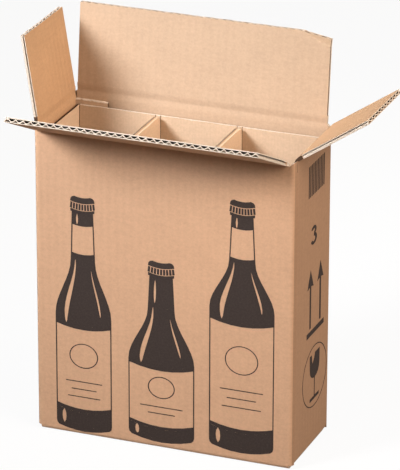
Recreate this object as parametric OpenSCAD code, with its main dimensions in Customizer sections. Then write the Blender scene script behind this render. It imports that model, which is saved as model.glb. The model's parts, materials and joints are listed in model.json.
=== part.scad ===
// Shipping carton for three bottles: a slotted corrugated box with its four
// top flaps open, and a pleated card insert that makes the three cells.
// The origin is on the table under the middle of the box, +Z is up and -Y is the front.

/* [Carton] */
// outside width across the front
box_w = 266; // [246:2:300]
// outside depth from front to back
box_d = 100; // [94:1:130]
// height of the front fold line above the table
fold_h = 311; // [260:1:340]
// thickness of the corrugated board
board = 4; // [3.5:0.1:4.5]
// outside radius of the four upright corners
corner_r = 4; // [2:0.5:5]
// width of the glued joint tab inside the back wall
tab_w = 34; // [25:1:45]
// thickness of the pressed joint tab
tab_t = 3; // [2:0.5:3.5]
// notch where the back wall's raw edge stops at the joint
lap_notch = 1.5; // [1:0.1:2.5]

/* [Top flaps] */
// length of the front and back flaps from fold to free edge
flap_l = 87; // [60:1:88]
// length of the left flap from fold to free edge
left_flap_l = 88; // [60:1:110]
// length of the right flap from fold to free edge
right_flap_l = 84; // [60:1:110]
// slot from a corner to the end of a front or back flap
slot_w = 4.5; // [4:0.5:7]
// slot at the right end of the front flap, cut wider
wide_slot_w = 7.5; // [6:0.5:10]
// space between the end of a flap and its slot
slot_clear = 0.5; // [0.3:0.1:1]
// space between a side flap's end and an upright front or back flap
side_clear = 0.5; // [0.3:0.1:1]
// space between one closed flap and the next above it
layer_gap = 0.4; // [0.2:0.1:1]
// angle of the front flap above level
front_angle = 25; // [0:1:90]
// angle of the back flap above level
back_angle = 84; // [0:1:90]
// angle of the left flap above level
left_angle = 81; // [0:0.5:90]
// angle of the right flap above level
right_angle = 34; // [0:1:90]

/* [Fold lines] */
// depth of the fold line under the outer face
fold_depth = 0.8; // [0.6:0.1:1.2]
// gap along the fold line, half on each side
fold_gap = 0.24; // [0.2:0.02:0.4]
// largest fold outwards, measured from upright
fold_out = 140; // [100:5:145]
// length of pressed solid board on each side of a fold
crush_l = 7; // [6:0.5:10]

/* [Corrugation] */
// distance from one flute to the next
flute_pitch = 7.8; // [6.5:0.1:9]
// thickness of each flat liner
liner = 0.4; // [0.3:0.05:0.5]
// thickness of the wavy middle sheet
medium = 0.35; // [0.3:0.05:0.45]

/* [Bottom flaps] */
// height of the corner feet above the table
foot_h = 2.5; // [1:0.5:3.5]
// length of the left and right bottom flaps
minor_l = 48; // [35:1:60]
// how far the front bottom flap reaches past the middle
seam_shift = 2; // [1:0.5:5]
// gap between the two outer bottom flaps
seam_gap = 0.5; // [0.3:0.1:2]
// gap between the outer and inner bottom flaps
ply_gap = 0.2; // [0.1:0.05:0.5]
// width of the cut beside each outer bottom flap
foot_slit = 0.8; // [0.4:0.1:1.5]

/* [Bottle insert] */
// thickness of the insert's card
card = 2; // [1.5:0.1:2.5]
// clearance between the insert and the carton
insert_fit = 0.4; // [0.3:0.1:1]
// space between the insert's top and the lowest closed flap
insert_drop = 0.6; // [0.4:0.1:4]
// distance between the middles of the two dividers
divider_pitch = 84; // [70:1:90]
// gap between the two layers of a divider
pleat_gap = 0.3; // [0.2:0.1:0.8]
// radius of the relief at the top of each divider's root
relief_r = 7; // [4:0.5:12]

/* [Hidden] */
$fn = 64;
half_w = box_w / 2;
half_d = box_d / 2;
// thickness of board inside the fold line
inner = board - fold_depth;
half_gap = fold_gap / 2;
out_bevel = fold_depth * tan(fold_out / 2);
// each closed flap lies on the one below: front, then the sides, then the back
layer = board + layer_gap;
side_fold_h = fold_h + layer;
back_fold_h = side_fold_h + layer;
// slot bottoms between two folds of different height
front_post_h = (fold_h + side_fold_h) / 2;
back_post_h = (side_fold_h + back_fold_h) / 2;
wall_top = fold_h - crush_l;
front_x0 = -half_w + slot_w;
front_x1 = half_w - wide_slot_w;
back_x1 = half_w - slot_w;
side_y = half_d - board - side_clear;
minor_z = board + ply_gap;
floor_z = minor_z + board;
tab_top = side_fold_h - inner - layer_gap - 0.3;
// corrugation heights, measured from the fold line
core_low = liner - fold_depth;
core_high = inner - liner;
wave_mid = (core_low + core_high) / 2;
wave_amp = (core_high - core_low - medium) / 2;
wave_steps = [0.1, 0.22, 0.36, 0.5, 0.64, 0.78, 0.9];
// insert
insert_z = floor_z + insert_fit;
insert_top = fold_h - inner - insert_drop;
insert_h = insert_top - insert_z;
insert_x = half_w - board - insert_fit;
insert_back = half_d - board - tab_t - insert_fit;
insert_front = -half_d + board + insert_fit;
divider_t = 2 * card + pleat_gap;

kraft = [0.80, 0.62, 0.46];
card_kraft = [0.82, 0.65, 0.50];

// the board's section beside a fold: bevelled 45 degrees inside so that a flap
// closes like a mitre, and bevelled outside so that it can fold back
module fold_section(length) {
    polygon([
        [half_gap, 0],
        [half_gap + inner, inner],
        [length, inner],
        [length, -fold_depth],
        [half_gap + out_bevel, -fold_depth]
    ]);
}

// a strip of pressed board of width w that ends at the fold line, running along +Y
module fold_strip(w, length) {
    rotate([90, 0, 90])
        linear_extrude(height = w)
            fold_section(length);
}

// vertical half thickness of the wavy sheet at u pitches from a crest
function wave_half(u) =
    medium / 2 * sqrt(1 + pow(2 * PI * wave_amp / flute_pitch * sin(360 * u), 2));

// one open channel above the wavy sheet, from crest to crest
module upper_channel() {
    polygon(concat(
        [for (u = wave_steps) [u * flute_pitch, wave_mid + wave_amp * cos(360 * u) + wave_half(u)]],
        [[0.9 * flute_pitch, core_high], [0.1 * flute_pitch, core_high]]
    ));
}

// one open channel under the wavy sheet, from trough to trough
module lower_channel() {
    polygon(concat(
        [for (u = wave_steps) [u * flute_pitch, wave_mid - wave_amp * cos(360 * u) - wave_half(u)]],
        [[0.9 * flute_pitch, core_low], [0.1 * flute_pitch, core_low]]
    ));
}

// end view of corrugated board of width w, with the flutes centred on it
module fluted_section(w) {
    count = ceil(w / 2 / flute_pitch);
    difference() {
        translate([0, -fold_depth])
            square([w, board]);
        for (i = [-count : count - 1]) {
            translate([w / 2 + i * flute_pitch, 0])
                upper_channel();
            translate([w / 2 + (i + 0.5) * flute_pitch, 0])
                lower_channel();
        }
    }
}

// a flap lying level, its fold line on the X axis, its outer face down
module flap(w, length) {
    union() {
        fold_strip(w, crush_l);
        translate([0, length, 0])
            rotate([90, 0, 0])
                linear_extrude(height = length - crush_l)
                    fluted_section(w);
    }
}

// outline of the four walls, seen from above, with rounded corners
module wall_plan() {
    difference() {
        union() {
            square([box_w - 2 * corner_r, box_d], center = true);
            square([box_w, box_d - 2 * corner_r], center = true);
            for (x = [-1, 1], y = [-1, 1])
                translate([x * (half_w - corner_r), y * (half_d - corner_r)])
                    circle(r = corner_r);
        }
        square([box_w - 2 * board, box_d - 2 * board], center = true);
        translate([-half_w - 1, half_d - board])
            square([lap_notch + 1, board + 1]);
    }
}

// the corner of the walls between two slots
module corner_post(x0, x1, y0, y1, top) {
    translate([0, 0, wall_top])
        linear_extrude(height = top - wall_top)
            intersection() {
                wall_plan();
                translate([x0, y0])
                    square([x1 - x0, y1 - y0]);
            }
}

// the top of a wall of width w up to its fold, standing on the X axis, outer face to -Y
module wall_head(w, height) {
    translate([0, fold_depth, height])
        rotate([-90, 0, 0])
            fold_strip(w, height - wall_top);
}

// a bottom flap of width w bent under a wall, its wall's outer face on the X axis
module bottom_flap(w, length) {
    translate([0, board, board])
        rotate([0, 90, 0])
            intersection() {
                cylinder(r = board, h = w);
                translate([0, -board, 0])
                    cube([board, board, w]);
            }
    translate([0, board, 0])
        cube([w, length - board, board]);
}

module carton() {
    color(kraft)
    union() {
        difference() {
            translate([0, 0, foot_h])
                linear_extrude(height = wall_top - foot_h)
                    wall_plan();
            // front and back walls end at their bottom folds, between two slits
            for (s = [-1, 1])
                translate([-half_w + slot_w - foot_slit, s * (half_d - board / 2) - board, 0])
                    cube([box_w - 2 * slot_w + 2 * foot_slit, 2 * board, board]);
            // side walls end at their bottom folds
            for (s = [-1, 1])
                translate([s * (half_w - board / 2) - board, -side_y - side_clear, 0])
                    cube([2 * board, 2 * side_y + 2 * side_clear, floor_z]);
        }
        // wall tops under the four flaps
        translate([front_x0, -half_d, 0])
            wall_head(front_x1 - front_x0, fold_h);
        translate([back_x1, half_d, 0])
            rotate([0, 0, 180])
                wall_head(2 * back_x1, back_fold_h);
        translate([-half_w, half_d - board, 0])
            rotate([0, 0, -90])
                wall_head(box_d - 2 * board, side_fold_h);
        translate([half_w, -half_d + board, 0])
            rotate([0, 0, 90])
                wall_head(box_d - 2 * board, side_fold_h);
        // slot bottoms at the four corners
        corner_post(-half_w, front_x0, -half_d, -half_d + board, front_post_h);
        corner_post(front_x1, half_w, -half_d, -half_d + board, front_post_h);
        corner_post(-half_w, -back_x1, half_d - board, half_d, back_post_h);
        corner_post(back_x1, half_w, half_d - board, half_d, back_post_h);
        // glued joint tab, bent from the left wall
        translate([-half_w + board, half_d - board - tab_t, floor_z + ply_gap])
            cube([tab_w, tab_t, tab_top - floor_z - ply_gap]);
        // outer bottom flaps, front and back
        translate([-half_w + slot_w, -half_d, 0])
            bottom_flap(box_w - 2 * slot_w, half_d + seam_shift);
        translate([half_w - slot_w, half_d, 0])
            rotate([0, 0, 180])
                bottom_flap(box_w - 2 * slot_w, half_d - seam_shift - seam_gap);
        // inner bottom flaps, left and right
        translate([-half_w, side_y, minor_z])
            rotate([0, 0, -90])
                bottom_flap(2 * side_y, minor_l);
        translate([half_w, -side_y, minor_z])
            rotate([0, 0, 90])
                bottom_flap(2 * side_y, minor_l);
    }
}

module front_flap() {
    w = front_x1 - front_x0 - 2 * slot_clear;
    color(kraft)
    translate([front_x1 - slot_clear, -half_d + fold_depth, fold_h])
        rotate([0, 0, 180])
            rotate([front_angle, 0, 0])
                flap(w, flap_l);
}

module back_flap() {
    w = 2 * back_x1 - 2 * slot_clear;
    color(kraft)
    translate([-back_x1 + slot_clear, half_d - fold_depth, back_fold_h])
        rotate([back_angle, 0, 0])
            flap(w, flap_l);
}

module left_flap() {
    color(kraft)
    translate([-half_w + fold_depth, -side_y, side_fold_h])
        rotate([0, 0, 90])
            rotate([left_angle, 0, 0])
                flap(2 * side_y, left_flap_l);
}

module right_flap() {
    color(kraft)
    translate([half_w - fold_depth, side_y, side_fold_h])
        rotate([0, 0, -90])
            rotate([right_angle, 0, 0])
                flap(2 * side_y, right_flap_l);
}

// one divider seen from above: the strip folded forwards and back again
module divider_plan() {
    difference() {
        union() {
            translate([-divider_t / 2, insert_front + divider_t / 2])
                square([divider_t, insert_back - insert_front - divider_t / 2]);
            translate([0, insert_front + divider_t / 2])
                circle(d = divider_t);
        }
        translate([-pleat_gap / 2, insert_front + card])
            square([pleat_gap, insert_back - insert_front]);
    }
}

// the insert's strip seen from above: left side, back with two pleats, right side
module insert_plan() {
    difference() {
        union() {
            translate([-insert_x, insert_back - card])
                square([2 * insert_x, card]);
            for (s = [-1, 1])
                translate([s * (insert_x - card / 2) - card / 2, insert_front])
                    square([card, insert_back - insert_front]);
            for (s = [-1, 1])
                translate([s * divider_pitch / 2, 0])
                    divider_plan();
        }
        for (s = [-1, 1])
            translate([s * divider_pitch / 2 - pleat_gap / 2, insert_front + card])
                square([pleat_gap, insert_back - insert_front]);
    }
}

module bottle_insert() {
    root_y = insert_back - card;
    color(card_kraft)
    translate([0, 0, insert_z])
        difference() {
            linear_extrude(height = insert_h)
                insert_plan();
            // rounded relief where each divider leaves the back
            for (s = [-1, 1])
                translate([s * divider_pitch / 2 - divider_t, root_y - relief_r, insert_h - relief_r])
                    difference() {
                        cube([2 * divider_t, relief_r, relief_r + 1]);
                        translate([-1, 0, 0])
                            rotate([0, 90, 0])
                                cylinder(r = relief_r, h = 2 * divider_t + 2);
                    }
        }
}

carton();
front_flap();
back_flap();
left_flap();
right_flap();
bottle_insert();
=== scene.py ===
"""An open shipping carton for three bottles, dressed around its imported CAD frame.

The carton is single-wall corrugated board: two flat liners with a wavy sheet between them.
Every piece is built in metres in the frame's own place: +Z is up and -Y is the front.
"""

import json
import math

import bmesh
import bpy
from bpy.props import FloatProperty, FloatVectorProperty, PointerProperty
from mathutils import Matrix, Vector, noise


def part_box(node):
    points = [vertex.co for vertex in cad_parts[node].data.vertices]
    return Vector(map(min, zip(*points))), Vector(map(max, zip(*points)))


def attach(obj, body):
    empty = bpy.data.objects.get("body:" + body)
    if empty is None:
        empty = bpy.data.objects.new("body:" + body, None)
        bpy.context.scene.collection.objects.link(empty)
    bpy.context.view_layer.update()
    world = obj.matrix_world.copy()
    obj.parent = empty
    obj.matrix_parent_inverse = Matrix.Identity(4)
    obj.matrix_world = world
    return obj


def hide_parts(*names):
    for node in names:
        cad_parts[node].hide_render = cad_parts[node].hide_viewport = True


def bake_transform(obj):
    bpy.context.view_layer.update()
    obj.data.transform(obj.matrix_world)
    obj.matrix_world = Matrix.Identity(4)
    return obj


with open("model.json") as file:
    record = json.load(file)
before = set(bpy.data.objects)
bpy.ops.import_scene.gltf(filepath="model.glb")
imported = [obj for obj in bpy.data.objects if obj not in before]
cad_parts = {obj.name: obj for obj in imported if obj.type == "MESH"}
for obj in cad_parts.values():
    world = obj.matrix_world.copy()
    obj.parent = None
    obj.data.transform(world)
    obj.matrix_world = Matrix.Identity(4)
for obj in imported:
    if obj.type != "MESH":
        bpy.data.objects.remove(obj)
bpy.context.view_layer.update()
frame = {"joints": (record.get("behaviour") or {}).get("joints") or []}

bl_info = {
    "name": "Bottle Shipping Carton",
    "version": (1, 0, 0),
    "blender": (4, 5, 0),
    "location": "View3D > Sidebar > Carton",
    "description": "Builds an open corrugated carton for three bottles around its CAD frame",
    "category": "Object",
}

MM = 0.001
# places nearer than this count as one place, and a hair is no length at all
NEAR = 0.1 * MM
HAIR = 1e-6
# least cosine between a face's normal and a direction for the face to look that way
SQUARELY, MOSTLY, PARTLY = 0.9, 0.7, 0.5

# places read from the frame
FOLD = {j["child"]: Vector(j["pos_m"]) for j in frame["joints"]}
_, CARTON_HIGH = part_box("carton")
INSERT_LOW, INSERT_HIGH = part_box("bottle_insert")
HALF_W = CARTON_HIGH.x
HALF_D = CARTON_HIGH.y

# how each flap stands: outward direction, angle above level, ends along the fold, length
FLAPS = {
    "front_flap": (Vector((0, -1, 0)), 25.0, -128 * MM, 125 * MM, 87 * MM),
    "back_flap": (Vector((0, 1, 0)), 84.0, -128 * MM, 128 * MM, 87 * MM),
    "left_flap": (Vector((-1, 0, 0)), 81.0, -45.5 * MM, 45.5 * MM, 88 * MM),
    "right_flap": (Vector((1, 0, 0)), 34.0, -45.5 * MM, 45.5 * MM, 84 * MM),
}
LONG_FLAPS = ("front_flap", "back_flap")
# how far each flap's cut edges spread on the inner and the outer face: the closed flaps lie
# 0.4 mm apart, so only the faces that no other flap lies on have room
SPREAD = {
    "front_flap": (0.75 * MM, 0.05 * MM),
    "back_flap": (0.05 * MM, 0.6 * MM),
    "left_flap": (0.05 * MM, 0.05 * MM),
    "right_flap": (0.05 * MM, 0.05 * MM),
}
# where the walls end and the pressed creases begin, and the top of the closed bottom flaps
WALL_TOP = 304 * MM
FLOOR_TOP = 8.2 * MM
# from the board's outer face in to the line that a flap turns about
FOLD_DEPTH = 0.8 * MM
# the slots between the top flaps, and the wider one at the front right
SLOT = 4.5 * MM
WIDE_SLOT = 7.5 * MM
# the insert's card has finer flutes than the carton's board
CARD_PITCH = 3 * MM
STEPS_PER_FLUTE = 8


def linear(code):
    """An sRGB hex colour as linear red, green, blue and alpha."""
    parts = [int(code[i:i + 2], 16) / 255 for i in (0, 2, 4)]
    curved = [c / 12.92 if c <= 0.04045 else ((c + 0.055) / 1.055) ** 2.4 for c in parts]
    return (*curved, 1.0)


class BoardSizes(bpy.types.PropertyGroup):
    """Sizes of the corrugated board and the insert's card"""

    board: FloatProperty(
        name="Board", description="Thickness of the corrugated board",
        default=4 * MM, min=0.002, max=0.006, unit="LENGTH", subtype="DISTANCE")
    corner: FloatProperty(
        name="Corner radius", description="Outside radius of the upright corners",
        default=5.5 * MM, min=0.001, max=0.008, unit="LENGTH", subtype="DISTANCE")
    pitch: FloatProperty(
        name="Flute pitch", description="Distance from one flute to the next",
        default=7.8 * MM, min=0.004, max=0.012, unit="LENGTH", subtype="DISTANCE")
    liner: FloatProperty(
        name="Liner", description="Thickness of each flat liner",
        default=0.65 * MM, min=0.0002, max=0.001, unit="LENGTH", subtype="DISTANCE")
    medium: FloatProperty(
        name="Fluting", description="Thickness of the wavy sheet",
        default=0.9 * MM, min=0.0002, max=0.0012, unit="LENGTH", subtype="DISTANCE")
    wash: FloatProperty(
        name="Washboard", description="How far a liner sinks between two flutes",
        default=0.05 * MM, min=0, max=0.0003, unit="LENGTH", subtype="DISTANCE")
    crease: FloatProperty(
        name="Crease", description="Length of pressed board on each side of a fold",
        default=7 * MM, min=0.003, max=0.012, unit="LENGTH", subtype="DISTANCE")
    card: FloatProperty(
        name="Card", description="Thickness of the insert's card",
        default=2 * MM, min=0.001, max=0.003, unit="LENGTH", subtype="DISTANCE")


class PaperColours(bpy.types.PropertyGroup):
    """Colours of the papers, the ink and the floor"""

    outer: FloatVectorProperty(
        name="Outer liner", description="Kraft paper on the outside",
        size=4, subtype="COLOR", default=linear("D5A886"), min=0, max=1)
    inner: FloatVectorProperty(
        name="Inner liner", description="Paler kraft paper on the inside",
        size=4, subtype="COLOR", default=linear("C2A68C"), min=0, max=1)
    # painted warm bounce light: the inside of the side walls and side flaps is browner and more orange than
    # the inner liner
    inner_side_warm_light: FloatVectorProperty(
        name="Inner liner, sides", description="Browner look of the inside of the side flaps",
        size=4, subtype="COLOR", default=linear("CDA580"), min=0, max=1)
    # the fluting's colour is darker than the paper's own, as painted shade in channels and grooves
    fluting: FloatVectorProperty(
        name="Fluting", description="Recycled paper of the wavy sheet",
        size=4, subtype="COLOR", default=linear("523E30"), min=0, max=1)
    edge: FloatVectorProperty(
        name="Cut edge", description="Torn fibres where the board is cut",
        size=4, subtype="COLOR", default=linear("E0D0BF"), min=0, max=1)
    card: FloatVectorProperty(
        name="Insert card", description="Kraft card of the insert",
        size=4, subtype="COLOR", default=linear("D4B89C"), min=0, max=1)
    ink: FloatVectorProperty(
        name="Ink", description="Dark flexographic ink",
        size=4, subtype="COLOR", default=linear("423834"), min=0, max=1)
    floor: FloatVectorProperty(
        name="Floor", description="Pale studio floor",
        size=4, subtype="COLOR", default=linear("F4F3F1"), min=0, max=1)


def add(tree, kind, inputs=None, **settings):
    """Adds one shader node, gives it its settings, and fills or links its inputs."""
    made = tree.nodes.new("ShaderNode" + kind)
    for name, value in settings.items():
        setattr(made, name, value)
    for name, value in (inputs or {}).items():
        if isinstance(value, bpy.types.NodeSocket):
            tree.links.new(value, made.inputs[name])
        else:
            made.inputs[name].default_value = value
    return made


def shade(colour, share):
    """A linear colour made darker or lighter by a share."""
    return tuple(min(1.0, c * share) for c in colour[:3]) + (1.0,)


def start_material(name, roughness, specular):
    """A node material with its output and surface shader, and the place on the piece to draw by."""
    material = bpy.data.materials.new(name)
    material.use_nodes = True
    tree = material.node_tree
    tree.nodes.clear()
    shader = add(tree, "BsdfPrincipled", {"Roughness": roughness, "Specular IOR Level": specular})
    add(tree, "OutputMaterial", {"Surface": shader.outputs["BSDF"]})
    return material, tree, shader, add(tree, "TexCoord").outputs["Object"]


def tint(tree, shader, pattern, dark, light):
    """Colours a surface by a pattern, from a dark to a light tone: each a level and its colour."""
    ramp = add(tree, "ValToRGB", {0: pattern})
    for stop, (level, colour) in zip(ramp.color_ramp.elements, (dark, light)):
        stop.position = level
        stop.color = colour
    tree.links.new(ramp.outputs[0], shader.inputs["Base Color"])


def kraft_paper(name, colour, across, pitch):
    """Uncoated machine-made kraft liner: matt, mottled by short level fibres and soft clouds of
    tone, with a faint upright stripe over every glued flute."""
    material, tree, shader, place = start_material(name, 0.92, 0.2)
    # single fibres are finer than a pixel, so the flecks are drawn about 2 mm wide
    fibre_long, fibre_high, cloud, fleck = 9 * MM, 2.6 * MM, 34 * MM, 2.2 * MM
    # the wave node repeats its bands over this length of its coordinate
    band = math.pi / 10
    level = add(tree, "Mapping", {
        "Vector": place, "Scale": (1 / fibre_long, 1 / fibre_long, 1 / fibre_high)})
    fibres = add(tree, "TexNoise", {
        "Vector": level.outputs[0], "Scale": 1.0, "Detail": 4.0, "Roughness": 0.62})
    clouds = add(tree, "TexNoise", {"Vector": place, "Scale": 1 / cloud, "Detail": 2.0})
    flecks = add(tree, "TexNoise", {
        "Vector": place, "Scale": 1 / fleck, "Detail": 4.0, "Roughness": 0.65})
    flutes = add(tree, "TexWave", {
        "Vector": place, "Scale": band / pitch, "Distortion": 0.6, "Detail": 1.0,
        "Detail Scale": 0.4}, wave_type="BANDS", bands_direction=across)
    tone = 0.30
    for pattern, share in ((fibres, 0.27), (clouds, 0.2), (flecks, 0.5), (flutes, 0.035)):
        mixed = {0: pattern.outputs["Fac"], 1: share, 2: tone}
        tone = add(tree, "Math", mixed, operation="MULTIPLY_ADD").outputs[0]
    tint(tree, shader, tone, (0.62, shade(colour, 0.88)), (1.0, shade(colour, 1.10)))
    raised = {0: flutes.outputs["Fac"], 1: 0.35, 2: flecks.outputs["Fac"]}
    relief = add(tree, "Math", raised, operation="MULTIPLY_ADD")
    bump = add(tree, "Bump", {
        "Height": relief.outputs[0], "Strength": 0.25, "Distance": 0.12 * MM})
    tree.links.new(bump.outputs[0], shader.inputs["Normal"])
    return material


def torn_edge(name, colour):
    """Die-cut board edge: pale torn fibres, fuzzy and uneven, with darker pressed spots."""
    material, tree, shader, place = start_material(name, 0.97, 0.1)
    tuft = 1.6 * MM
    fuzz = add(tree, "TexNoise", {
        "Vector": place, "Scale": 1 / tuft, "Detail": 4.0, "Roughness": 0.7}).outputs["Fac"]
    tint(tree, shader, fuzz, (0.30, shade(colour, 0.72)), (0.52, colour))
    bump = add(tree, "Bump", {"Height": fuzz, "Strength": 0.5, "Distance": 0.2 * MM})
    tree.links.new(bump.outputs[0], shader.inputs["Normal"])
    return material


def shaded_fluting_paper(name, colour):
    """Recycled fluting medium: grey-brown and rough, darkened past its own colour as painted shade in the
    channels, grooves and slots.
    """
    material, tree, shader, place = start_material(name, 0.95, 0.1)
    clump = 3 * MM
    pulp = add(tree, "TexNoise", {"Vector": place, "Scale": 1 / clump, "Detail": 3.0})
    tint(tree, shader, pulp.outputs["Fac"], (0.35, shade(colour, 0.7)), (0.68, colour))
    return material


def flexo_ink(name, colour):
    """Water-based flexographic ink on bare kraft: matt, dark, and thin over the fibres."""
    material, tree, shader, place = start_material(name, 0.85, 0.08)
    fibre = 1.8 * MM
    grain = add(tree, "TexNoise", {
        "Vector": place, "Scale": 1 / fibre, "Detail": 4.0, "Roughness": 0.7}).outputs["Fac"]
    tint(tree, shader, grain, (0.42, shade(colour, 0.92)), (0.78, shade(colour, 1.25)))
    return material


def seen_rays(tree):
    """1 on rays that show a surface, straight or by way of metal or glass, and 0 on other rays."""
    rays = add(tree, "LightPath").outputs
    seen = rays["Is Camera Ray"]
    for kind in ("Is Glossy Ray", "Is Transmission Ray"):
        seen = add(tree, "Math", {0: seen, 1: rays[kind]}, operation="MAXIMUM").outputs[0]
    return seen


def studio_floor(name, colour):
    """Pale seamless studio paper. The camera sees it near white, and it keeps a soft shadow."""
    material, tree, shader, place = start_material(name, 0.9, 0.5)
    clouds_per_metre = 3.0
    cloud = add(tree, "TexNoise", {"Vector": place, "Scale": clouds_per_metre})
    tint(tree, shader, cloud.outputs["Fac"], (0.0, shade(colour, 0.98)), (1.0, colour))
    glow = add(tree, "Emission", {"Color": linear("FFFFFF"), "Strength": 1.0})
    lit = add(tree, "MixShader", {0: 0.92, 1: shader.outputs[0], 2: glow.outputs[0]})
    # the studio round the carton is dim, so the floor throws little light back up
    dull = add(tree, "BsdfDiffuse", {"Color": linear("8C8C8C")})
    mixed = add(tree, "MixShader", {0: seen_rays(tree), 1: dull.outputs[0], 2: lit.outputs[0]})
    output = next(n for n in tree.nodes if n.type == "OUTPUT_MATERIAL")
    tree.links.new(mixed.outputs[0], output.inputs["Surface"])
    return material


def finishes():
    """The carton's materials, made once and looked up by name afterwards."""
    sizes, colours = bpy.context.scene.carton_sizes, bpy.context.scene.carton_colours
    # a share darkens or lightens a paper as painted light and shade: painted shade outside the side walls
    # and side flaps and on the insert's back, painted light on its sides and dividers
    recipes = {
        "kraft_outer_x": lambda n: kraft_paper(n, colours.outer, "X", sizes.pitch),
        # painted shade: the outside of the side walls and side flaps is the outer liner at 0.69
        "kraft_outer_y_painted_shade": lambda n: kraft_paper(n, shade(colours.outer, 0.69), "Y", sizes.pitch),
        "kraft_inner_x": lambda n: kraft_paper(n, colours.inner, "X", sizes.pitch),
        "kraft_inner_y_warm_light": lambda n: kraft_paper(n, colours.inner_side_warm_light, "Y", sizes.pitch),
        # painted shade on the insert's back panels, painted light on its side panels and dividers
        "insert_card_x_painted_shade": lambda n: kraft_paper(n, shade(colours.card, 0.94), "X", CARD_PITCH),
        "insert_card_y_painted_light": lambda n: kraft_paper(n, shade(colours.card, 1.12), "Y", CARD_PITCH),
        "torn_board_edge": lambda n: torn_edge(n, colours.edge),
        # painted shade: card darkened to 0.4 for a divider's left cut top
        "shaded_card_edge": lambda n: torn_edge(n, shade(colours.card, 0.4)),
        "fluting_medium_and_shade": lambda n: shaded_fluting_paper(n, colours.fluting),
        "flexo_ink": lambda n: flexo_ink(n, colours.ink),
        "studio_floor": lambda n: studio_floor(n, colours.floor),
    }
    return {n: bpy.data.materials.get(n) or make(n) for n, make in recipes.items()}


# a paper's X finish is for walls that run along X, and the Y finish after it for the others; the Y finishes
# carry painted shade outside and painted warm light inside
BOARD_FINISHES = (
    "kraft_outer_x", "kraft_outer_y_painted_shade", "kraft_inner_x", "kraft_inner_y_warm_light", "torn_board_edge",
    "fluting_medium_and_shade")
OUTER_X, OUTER_Y_SHADED, INNER_X, INNER_Y_WARM_LIT, EDGE, FLUTE_IN_SHADE = range(6)
INSERT_FINISHES = (
    "insert_card_x_painted_shade", "insert_card_y_painted_light", "torn_board_edge", "fluting_medium_and_shade", "shaded_card_edge")
CARD_X_SHADED, CARD_Y_LIT, CARD_EDGE, CARD_SHADE, CARD_EDGE_SHADED = range(5)


def make_piece(name, bm, finish_names, sharp=32):
    """Turns a finished bmesh into an object at the origin, smooth up to an angle."""
    mesh = bpy.data.meshes.new(name)
    bm.to_mesh(mesh)
    bm.free()
    made = finishes()
    for finish in finish_names:
        mesh.materials.append(made[finish])
    mesh.shade_smooth()
    mesh.set_sharp_from_angle(angle=math.radians(sharp))
    piece = bpy.data.objects.new(name, mesh)
    bpy.context.scene.collection.objects.link(piece)
    return piece


def moved_verts(result):
    """The new vertices of an extrude."""
    return [g for g in result["geom"] if isinstance(g, bmesh.types.BMVert)]


def pull(bm, faces, along):
    """Extrudes faces along a vector, and gives the vertices that moved."""
    moved = moved_verts(bmesh.ops.extrude_face_region(bm, geom=faces))
    bmesh.ops.translate(bm, vec=along, verts=moved)
    return moved


def round_off(bm, geom, radius, segments, affect):
    """Rounds vertices or edges to a radius."""
    bmesh.ops.bevel(
        bm, geom=geom, offset=radius, offset_type="OFFSET", segments=segments, profile=0.5,
        affect=affect, material=-1)


def cut(bm, place, normal):
    """Cuts every face that a plane passes through."""
    whole = bm.verts[:] + bm.edges[:] + bm.faces[:]
    bmesh.ops.bisect_plane(bm, geom=whole, dist=1e-7, plane_co=place, plane_no=normal)


def prism(bm, corners, rounded, along):
    """A closed profile of a few corners, some of them rounded, extruded along a vector."""
    verts = [bm.verts.new(c) for c in corners]
    bm.faces.new(verts)
    for index, (radius, segments) in rounded.items():
        round_off(bm, [verts[index]], radius, segments, "VERTICES")
    pull(bm, bm.faces[:], along)


def merge_into(target, source):
    """Moves one bmesh's geometry into another."""
    mesh = bpy.data.meshes.new("scratch")
    source.to_mesh(mesh)
    source.free()
    target.from_mesh(mesh)
    bpy.data.meshes.remove(mesh)


def fade(distance, reach):
    """1 at a place, and down to 0 at its reach."""
    return max(0.0, 1 - distance / reach)


def grow(distance, reach):
    """0 at a place, and up to 1 at its reach."""
    return min(1.0, distance / reach)


def uneven(x, y, z):
    """Smooth unevenness between about -1 and 1."""
    return noise.noise(Vector((x, y, z)))


def board_depths(sizes):
    """Where the board's outer and inner faces lie, from the line that a flap turns about."""
    return -FOLD_DEPTH, sizes.board - FOLD_DEPTH


def flap_axes(name):
    """A flap's fold point and its directions: along the fold, out along the flap, out of its inner face."""
    outward, angle = FLAPS[name][:2]
    turn = math.radians(angle)
    along = Vector((outward.y, -outward.x, 0))
    length = outward * math.cos(turn) + Vector((0, 0, 1)) * math.sin(turn)
    inner = -outward * math.sin(turn) + Vector((0, 0, 1)) * math.cos(turn)
    return FOLD[name], along, length, inner


def flap_span(name):
    """Where a flap starts and ends along its own fold direction."""
    outward, _, low, high, _ = FLAPS[name]
    return (low, high) if outward.y > 0 or outward.x < 0 else (-high, -low)


def wave_pitch(width, pitch):
    """The pitch nearest to the wanted one at which the fluting meets the outer liner at both ends."""
    return width / 2 / (round(width / 2 / pitch - 0.5) + 0.5)


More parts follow.
